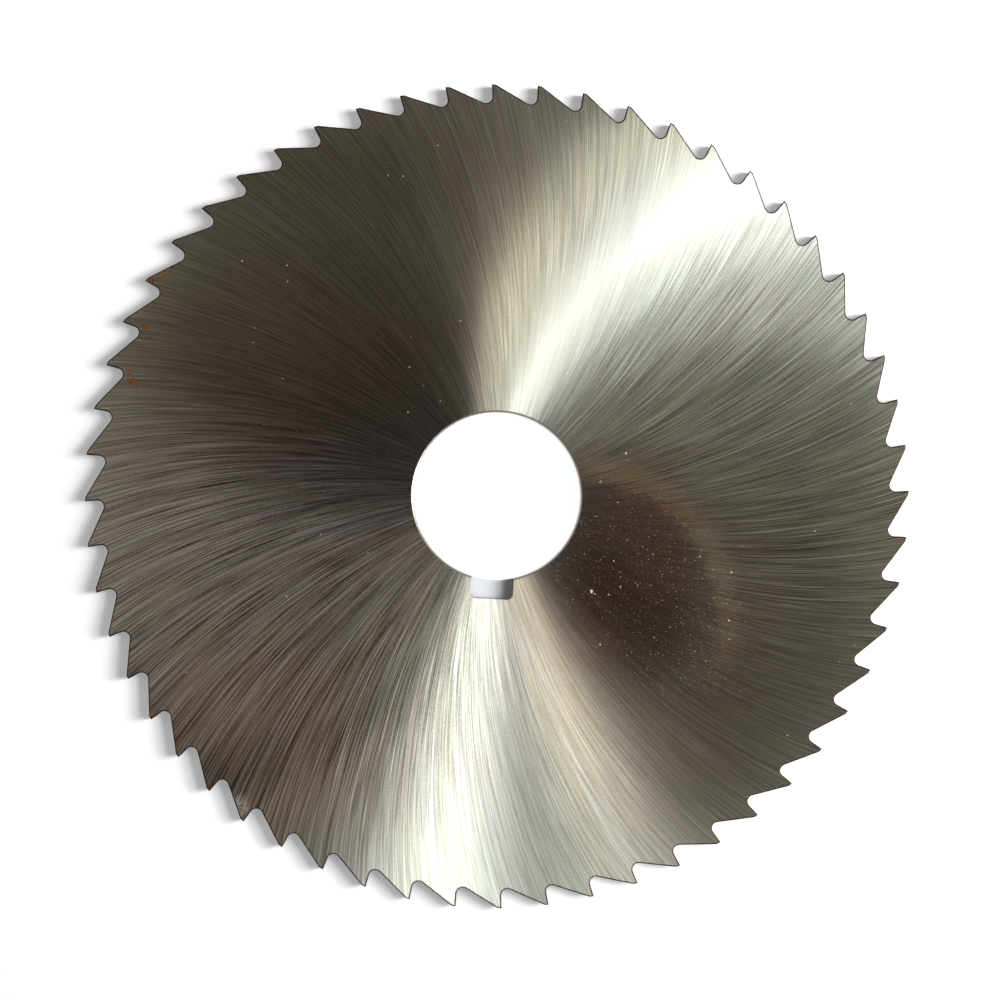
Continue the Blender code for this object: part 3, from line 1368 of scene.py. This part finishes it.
        # Painted glints: the bright hairlines are made much lighter than the steel.
        relief = sheet.math("MULTIPLY_ADD", bright, self.painted_glints_relief, relief)
        relief = sheet.math("MULTIPLY_ADD", dark, self.dark_relief, relief)
        relief = sheet.math("MULTIPLY", relief, deep)
        fine = Span.FINE_LINES.of(sheet, grain.fine, -1.0)
        relief = sheet.math("MULTIPLY_ADD", fine, self.fine_relief, relief)
        grit = Span.GRIT.of(sheet, grain.grit, -1.0)
        relief = sheet.math("MULTIPLY_ADD", grit, self.grit_relief, relief)
        shade = sheet.math("MAXIMUM", sheet.math("MULTIPLY_ADD", relief, deep, 1.0), self.darkest)

        height = sheet.math("MULTIPLY_ADD", grain.fine, 0.55, sheet.math("MULTIPLY", grain.wide, 0.45))
        low, high = self.roughness + self.roughness_swing, self.roughness - self.roughness_swing
        colour = sheet.mix(1.0, self.colour, shade, "MULTIPLY")
        coating = Coating(sheet, colour, Span.HUES.of(sheet, height, low, high))
        # Painted glints: a bluish tint on the bright hairlines.
        coating.tint(bright, self.painted_glints)
        coating.tint(deep, sheet.mix(Span.HUES.of(sheet, grain.wide), self.brown, self.cool))
        coating.tint(deep, sheet.mix(Span.HUES.of(sheet, grain.bands), self.purple, self.olive))
        return coating

    def add_films(self, coating: Coating, grain: Grain) -> None:
        """Lays the tinted films over the steel: partly oily stains, partly painted reflection, light and
        shade. They keep to the wide lines.

        Args:
            coating: The surface so far, which is changed.
            grain: What varies over the sides.
        """
        sheet = coating.sheet
        streaky = Span.STREAKS.of(sheet, grain.wide)
        keeps = sheet.math("MULTIPLY_ADD", streaky, self.streaks, 1 - self.streaks)
        for film in self.stains_and_painted_light.films():
            coating.tint(sheet.math("MULTIPLY", film.patch.mask(sheet, grain.coarse), keeps), film.tint)

    def add_rim(self, coating: Coating, grain: Grain, reach: Socket) -> None:
        """Lays the tan arc along one edge of the dark patch over the steel.

        Args:
            coating: The surface so far, which is changed.
            grain: What varies over the sides.
            reach: Distance from the dark patch's middle, against its radius.
        """
        sheet = coating.sheet
        start, middle, end = self.rim_wall
        rise = sheet.ramp(reach, start, middle)
        fall = sheet.ramp(reach, middle, end, 1.0, 0.0)
        ring = sheet.math("MULTIPLY", rise, fall)
        ring = sheet.math("MULTIPLY", ring, self.dark_patch_side.mask(sheet, grain.coarse))
        coating.tint(ring, self.rim, self.rim_blur)

    def add_dust(self, coating: Coating, grain: Grain) -> None:
        """Scatters dust over the steel, thicker beside the bore, where single grains lie as well.

        Args:
            coating: The surface so far, which is changed.
            grain: What varies over the sides.
        """
        sheet = coating.sheet
        specks = Effect.SPECKS.place
        stray = specks(sheet, Spacing=2.4 * MM, Share=0.18, Size=0.045, Seed=5.0).outputs[0]
        faint = specks(sheet, Spacing=0.36 * MM, Share=0.42, Size=0.22, Seed=11.0).outputs[0]
        faint = sheet.math("MULTIPLY", faint, self.faint_dust)
        plain = specks(sheet, Spacing=0.80 * MM, Share=0.30, Size=0.085, Seed=23.0).outputs[0]
        thick = self.dusty_place.mask(sheet, grain.coarse)
        thick = sheet.math("MULTIPLY", sheet.largest(faint, plain), thick)
        dust = sheet.largest(thick, stray, self.strongest(sheet, self.grains, grain.ragged))
        coating.paint(dust, self.dust, dust)

    def add_wear(self, coating: Coating, grain: Grain) -> None:
        """Puts rust and wear on the teeth that have them, and a few scratches across the lines.

        Args:
            coating: The surface so far, which is changed.
            grain: What varies over the sides.
        """
        sheet = coating.sheet
        crumbly = Span.CRUMBS.of(sheet, grain.grit, 0.35)
        rusty = sheet.math("MULTIPLY", self.strongest(sheet, self.rust_specks, grain.ragged), crumbly)
        coating.paint(sheet.ramp(rusty, 0.0, 0.3), self.rust, rusty)
        scratches = Effect.SCRATCHES.place
        scuffs = scratches(sheet, Angle=0.5, Width=0.1 * MM, Length=0.6 * MM, Level=0.52, Seed=2.0)
        worn = sheet.math("MULTIPLY", self.worn_tooth.mask(sheet, grain.ragged), scuffs.outputs[0])
        coating.paint(worn, self.dust, sheet.math("MULTIPLY", worn, 0.5))
        for seed, angle in enumerate(self.cross_angles, start=31):
            cross = scratches(sheet, Angle=angle, Width=0.1 * MM, Length=9 * MM, Level=0.76, Seed=float(seed))
            coating.paint(sheet.math("MULTIPLY", cross.outputs[0], 0.5), self.dust)

    def across(self, sheet: Sheet, grain: Grain) -> Socket:
        """Level direction across the grinding lines, in which the highlight is drawn out.

        Args:
            sheet: The material's sheet.
            grain: What varies over the sides. The lines' heights set how each strays from the true arc.

        Returns:
            The direction, of length 1.
        """
        flat, _, bend = self.lines.polar_place(sheet)
        stray = sheet.math("MULTIPLY", sheet.math("SUBTRACT", grain.fine, 0.5), self.fine_sway)
        sway = sheet.math("MULTIPLY_ADD", sheet.math("SUBTRACT", grain.wide, 0.5), self.wide_sway, stray)
        angle = sheet.math("ADD", sheet.math("ADD", bend, sway), QUARTER)
        return sheet.vector_math("NORMALIZE", sheet.swirled(flat, angle))


@dataclass(frozen=True)
class CutSteel:
    """Darker steel of the cut walls: the teeth's faces and backs, the bore and the keyway.

    Attributes:
        name: The material's name.
        colour: Colour of the darkest grain.
        worn: Colour of the palest grain.
        roughness: Roughness of a middling grain.
        swing: How much smoother the darkest grain is, and how much rougher the palest.
        grain_scale: Grains to the metre.
        upright: How much longer a grain is along Z.
        contrast: Range of the grain's height, 0.5 on average, that makes the difference.
        grain_bump: Strength and height of the grain's relief.
    """

    name: str = "cut_steel_walls"
    colour: Colour = (0.30, 0.27, 0.24)
    worn: Colour = (0.40, 0.37, 0.33)
    roughness: float = 0.42
    swing: tuple[float, float] = (0.06, 0.08)
    grain_scale: float = 5200
    upright: float = 0.12
    contrast: tuple[float, float] = (0.3, 0.7)
    grain_bump: tuple[float, float] = (0.4, 0.03 * MM)

    def build(self) -> bpy.types.Material:
        """Makes the material.

        Returns:
            The material.
        """
        sheet, shader, material = new_material(self.name)
        place = sheet.vector_math("MULTIPLY", sheet.place(), (1, 1, self.upright))
        grain = sheet.noise(place, self.grain_scale, detail=3, rough=0.6)
        colour = sheet.mix(sheet.ramp(grain, *self.contrast), self.colour, self.worn)
        smoother, rougher = self.swing
        rough = sheet.ramp(grain, *self.contrast, self.roughness - smoother, self.roughness + rougher)
        sheet.feed(shader, {"Base Color": colour, "Metallic": 1.0, "Roughness": rough})
        sheet.bump(grain, *self.grain_bump, shader)
        return material


# Near-black steel on the fine rounding of the teeth, which draws a thin dark line along each tooth's outline.
DARK_TOOTH_EDGES = CutSteel("dark_tooth_edges", (0.020, 0.014, 0.010), (0.090, 0.050, 0.028), 0.6)


WARM = (1.0, 0.82, 0.74)
CREAM = (1.0, 0.935, 0.80)
WHITE = (1.0, 1.0, 1.0)


class Lit(Enum):
    """What a lamp lights."""

    ALL = "all"
    BLADE = "blade"
    FLOOR = "floor"


@dataclass(frozen=True)
class Lamp:
    """A soft lamp that faces the blade.

    Attributes:
        name: Its name.
        azimuth: Direction from the blade, anticlockwise from the picture's right, in degrees.
        zenith: Angle from the vertical, in degrees.
        width: Side across, in metres.
        height: Side up, in metres.
        light: Light that it gives a surface that faces it, in watts to the square metre.
        colour: Its colour.
        lit: What it lights.
    """

    name: str
    azimuth: float
    zenith: float
    width: float
    height: float
    light: float
    colour: Colour = WHITE
    lit: Lit = Lit.ALL


@dataclass
class Studio:
    """Plain pale floor, soft lamps, surroundings and the camera, which looks straight down.

    Attributes:
        blade: The blade.
        top: Height of its upper side.
        roll: Turn of the camera about its own axis.
        lens_distance: Height of the camera over the blade.
        view_width: Width of what the camera sees at the blade's upper side.
        aim: Where the camera looks, across and up the picture.
        lamp_distance: Distance of the lamps from the blade.
        floor_radius: Radius of the floor.
        floor_gap: How far the floor lies below the blade.
        bore_shade: Radii between which the floor in the bore passes into the floor in the keyway.
        blade_shade: Radii between which the floor in the keyway passes into the open floor.
        far_floor: Radii between which the open floor passes into the far floor.
        bore_glow: Glow of the floor in the bore, as the camera sees it: painted light that washes out the
            blade's shadow there.
        floor_glow: The same of the open floor.
        far_glow: How much more the far floor glows.
        glow_colour: Colour of the glow.
        floor_colour: Colour of the floor.
        keyway_painted_shade: Colour of the floor in the keyway: painted shade, darker and bluer than the open
            floor.
        low_light: Light of the surroundings near the floor.
        high_light: Their light overhead.
        horizon: Heights between which one passes into the other.
        lamps: The lamps.
    """

    blade: bpy.types.Object
    top: float
    roll: float = math.radians(3.07)
    lens_distance: float = 0.4
    view_width: float = 151.4 * MM
    aim: tuple[float, float] = (0.48 * MM, -0.60 * MM)
    lamp_distance: float = 0.55
    floor_radius: float = 4.0
    floor_gap: float = 0.02 * MM
    bore_shade: tuple[float, float] = (12.6 * MM, 12.9 * MM)
    blade_shade: tuple[float, float] = (20 * MM, 50 * MM)
    far_floor: tuple[float, float] = (80 * MM, 500 * MM)
    bore_glow: float = 0.90
    floor_glow: float = 0.28
    far_glow: float = 0.70
    glow_colour: Colour = (0.90, 0.95, 1.0)
    floor_colour: Colour = (0.80, 0.80, 0.80)
    keyway_painted_shade: Colour = (0.70, 0.74, 0.80)
    low_light: Colour = (0.60, 0.58, 0.56)
    high_light: Colour = (0.020, 0.016, 0.013)
    horizon: tuple[float, float] = (0.15, 0.75)
    lamps: tuple[Lamp, ...] = (
        Lamp("upper_window", 14.3, 41.7, 0.079, 0.040, 0.50, CREAM),
        Lamp("high_window", -5.4, 30.0, 0.189, 0.050, 0.350),
        Lamp("lower_window", -14.2, 46.0, 0.030, 0.040, 0.108),
        Lamp("low_window", -7.2, 69.0, 0.180, 0.050, 4.00, WHITE, Lit.BLADE),
        Lamp("low_window_middle", -6.2, 68.0, 0.030, 0.050, 1.10, WHITE, Lit.BLADE),
        Lamp("ceiling_left", 144.7, 29.6, 0.30, 0.19, 0.155, WARM),
        Lamp("ceiling_right", -26.0, 22.3, 0.19, 0.18, 0.09, CREAM),
        Lamp("low_left", 177.5, 69.0, 0.09, 0.09, 0.14, WARM),
        Lamp("floor_key", 5.0, 38.0, 0.150, 0.340, 3.0, WHITE, Lit.FLOOR),
    )

    def make_camera(self) -> None:
        """Hangs the camera over the blade and makes it the scene's camera."""
        bpy.ops.object.camera_add(rotation=(0, 0, self.roll))
        camera = bpy.context.active_object
        aim = turned(Vector((*self.aim, 0)), self.roll)
        camera.location = (aim.x, aim.y, self.top + self.lens_distance)
        camera.data.sensor_fit = "HORIZONTAL"
        camera.data.angle = 2 * math.atan(self.view_width / 2 / self.lens_distance)
        camera.data.clip_start = 0.01
        camera.data.clip_end = 50
        bpy.context.scene.camera = camera

    def make_lamp(self, lamp: Lamp) -> bpy.types.Object:
        """Hangs one lamp.

        Args:
            lamp: What the lamp is like.

        Returns:
            The lamp.
        """
        angle = math.radians(lamp.azimuth) + self.roll
        zenith = math.radians(lamp.zenith)
        away = polar(math.sin(zenith), angle) + Vector((0, 0, math.cos(zenith)))
        bpy.ops.object.light_add(type="AREA", location=away * self.lamp_distance)
        made = bpy.context.active_object
        made.name = lamp.name
        made.rotation_euler = away.to_track_quat("Z", "Y").to_euler()
        made.data.shape = "RECTANGLE"
        made.data.size = lamp.width
        made.data.size_y = lamp.height
        made.data.energy = lamp.light * math.pi * self.lamp_distance**2
        made.data.color = lamp.colour
        return made

    @staticmethod
    def light_only(lamp: bpy.types.Object, thing: bpy.types.Object) -> None:
        """Lets a lamp light one thing, while everything still casts its shadow.

        Args:
            lamp: The lamp.
            thing: The object that it lights.
        """
        group = bpy.data.collections.new(f"{lamp.name}_lights")
        group.objects.link(thing)
        lamp.light_linking.receiver_collection = group

    def make_floor(self) -> bpy.types.Object:
        """Lays the floor, with a material that keeps the shadow and shows white to the camera. Painted light
        washes the blade's shadow out of the bore, and painted shade darkens the floor seen through the
        keyway.

        Returns:
            The floor.
        """
        bpy.ops.mesh.primitive_circle_add(
            vertices=96, radius=self.floor_radius, fill_type="NGON", location=(0, 0, -self.floor_gap)
        )
        floor = bpy.context.active_object
        floor.name = "floor"
        sheet, shader, material = new_material("pale_floor")
        rays = sheet.add("ShaderNodeLightPath").outputs
        seen = sheet.largest(rays["Is Camera Ray"], rays["Is Glossy Ray"], rays["Is Transmission Ray"])
        radius = sheet.vector_math("LENGTH", sheet.vector_math("MULTIPLY", sheet.place(), (1, 1, 0)))
        beyond_bore = sheet.ramp(radius, *self.bore_shade)
        under_blade = sheet.math("MULTIPLY", beyond_bore, sheet.ramp(radius, *self.blade_shade, 1.0, 0.0))
        # Painted shade: the floor seen through the keyway is darker and bluer than the open floor.
        colour = sheet.mix(under_blade, self.floor_colour, self.keyway_painted_shade)
        # Painted light: the floor in the bore glows nearly white to the camera, washing out the blade's
        # shadow there.
        in_bore = sheet.ramp(beyond_bore, 0.0, 1.0, self.bore_glow, 0.0)
        # The floor under the blade and in the keyway has no glow, which is part of the painted shade there.
        glow = sheet.largest(in_bore, sheet.ramp(radius, *self.blade_shade, 0.0, self.floor_glow))
        glow = sheet.math("ADD", glow, sheet.ramp(radius, *self.far_floor, 0.0, self.far_glow))
        glow = sheet.math("MULTIPLY", seen, glow)
        sheet.feed(shader, {"Base Color": colour, "Roughness": 0.9, "Specular IOR Level": 0.1})
        sheet.feed(shader, {"Emission Color": self.glow_colour, "Emission Strength": glow})
        floor.data.materials.append(material)
        return floor

    def make_surroundings(self) -> None:
        """Makes the world: pale near the floor, and as dark as a room above the lamps overhead."""
        world = bpy.data.worlds.new("room")
        bpy.context.scene.world = world
        world.use_nodes = True
        sheet = Sheet(world.node_tree)
        background = world.node_tree.nodes["Background"]
        _, _, height = sheet.parts(sheet.add("ShaderNodeTexCoord").outputs["Generated"])
        light = sheet.mix(sheet.ramp(height, *self.horizon), self.low_light, self.high_light)
        seen = sheet.add("ShaderNodeLightPath").outputs["Is Camera Ray"]
        sheet.put(sheet.mix(seen, light, WHITE), background.inputs["Color"])

    def build(self) -> None:
        """Makes the whole studio."""
        bpy.context.scene.view_settings.view_transform = "Standard"
        floor = self.make_floor()
        self.make_surroundings()
        for lamp in self.lamps:
            made = self.make_lamp(lamp)
            if lamp.lit is not Lit.ALL:
                self.light_only(made, floor if lamp.lit is Lit.FLOOR else self.blade)
        self.make_camera()


def main() -> None:
    """Dresses the slitting saw and sets up the studio."""
    logging.basicConfig(level=logging.INFO, format="%(name)s: %(message)s")
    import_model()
    low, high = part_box("saw_blade")
    form = ToothForm(tip_radius=(high.x - low.x) / 2)
    blade = Blade(thickness=high.z - low.z, tooth=form)
    piece = blade.build()
    for effect in (GrindingLines(), Scratches(), Specks(), Spot()):
        effect.build()
    blade.dress(GroundSteel().build(), CutSteel().build(), DARK_TOOTH_EDGES.build())
    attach(piece, "root")
    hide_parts("saw_blade")
    log.info("%s: %d faces", piece.name, len(piece.data.polygons))
    Studio(blade=piece, top=high.z).build()


if __name__ == "__main__":
    main()
